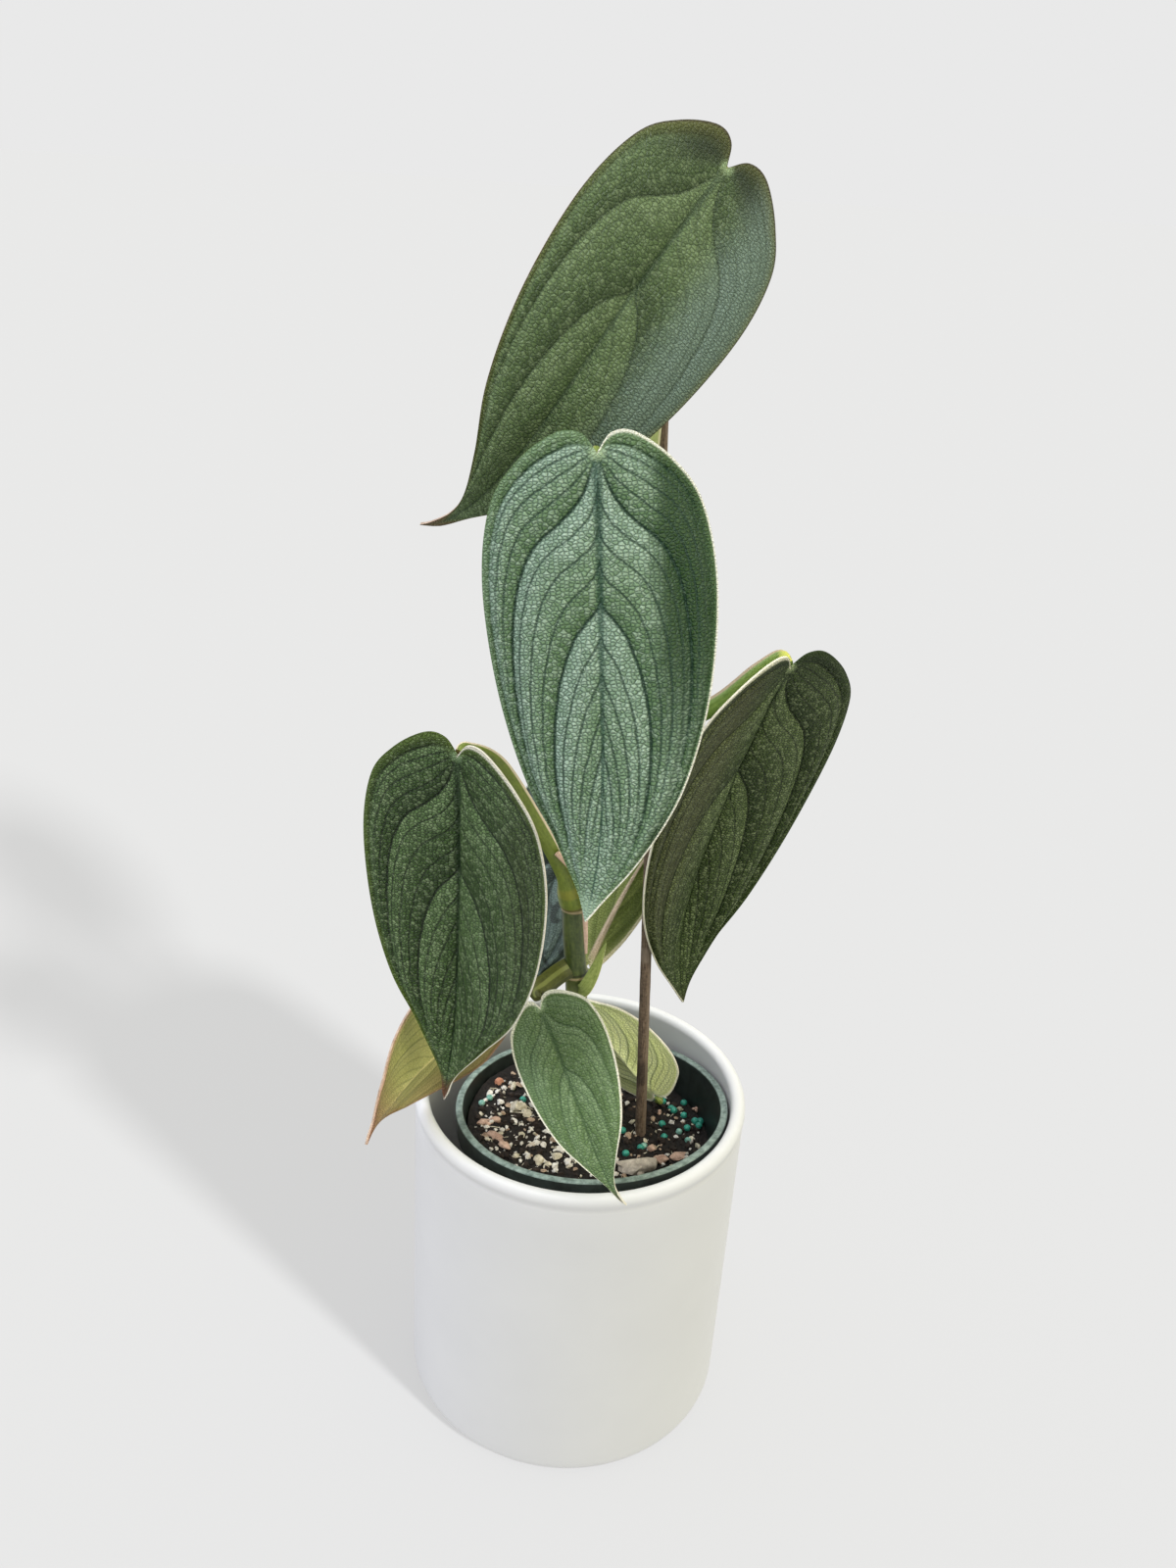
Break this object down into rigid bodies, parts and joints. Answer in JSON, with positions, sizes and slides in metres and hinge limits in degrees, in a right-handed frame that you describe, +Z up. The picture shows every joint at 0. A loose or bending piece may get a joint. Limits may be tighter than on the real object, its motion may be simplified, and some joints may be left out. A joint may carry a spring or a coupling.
{
  "type": "potted climbing philodendron",
  "caption": "small climbing aroid with quilted heart-shaped leaves on winged stalks, staked upright in a tilted grower's pot that stands inside a plain straight cylindrical cover pot",
  "frame": {"origin": "centre of the cover pot's flat underside", "axes": "+Z up along the cover pot's axis; +X to the right and -Y to the front, as the plant is looked at"},
  "size_m": [0.1651, 0.1713, 0.4814],
  "materials": {
    "cover_glaze": "white satin glaze",
    "pot_plastic": "thin dark green-black moulded plastic",
    "peat_mix": null,
    "stake_wood": "weathered brown stick",
    "stem_skin": null,
    "stalk_skin": "smooth yellow-green living skin",
    "leaf_olive": "quilted living leaf, satin, olive green",
    "leaf_silver": "quilted living leaf, satin, silvery between dark veins",
    "leaf_under": "pale underside of a living leaf, matt",
    "sheath_dry_skin": "dried papery sheath",
    "sheath_green_skin": "fresh bright green sheath"
  },
  "bodies": {
    "root": {"cover_pot": "cover_glaze", "nursery_pot": "pot_plastic", "soil": "peat_mix", "stake": "stake_wood", "stem": "stem_skin", "blade_top": "leaf_olive", "blade_middle": "leaf_silver", "blade_left": "leaf_olive", "blade_right": "leaf_olive", "blade_front": "leaf_olive", "blade_low_left": "leaf_under", "blade_low_right": "leaf_under", "blade_inner": "leaf_under", "blade_rear": "leaf_silver", "sheath_dry": "sheath_dry_skin", "sheath_green": "sheath_green_skin", "petiole_top": "stalk_skin", "petiole_middle": "stalk_skin", "petiole_left": "stalk_skin", "petiole_right": "stalk_skin", "petiole_front": "stalk_skin", "petiole_low_left": "stalk_skin", "petiole_low_right": "stalk_skin", "petiole_inner": "stalk_skin", "petiole_rear": "stalk_skin"}
  },
  "joints": []
}
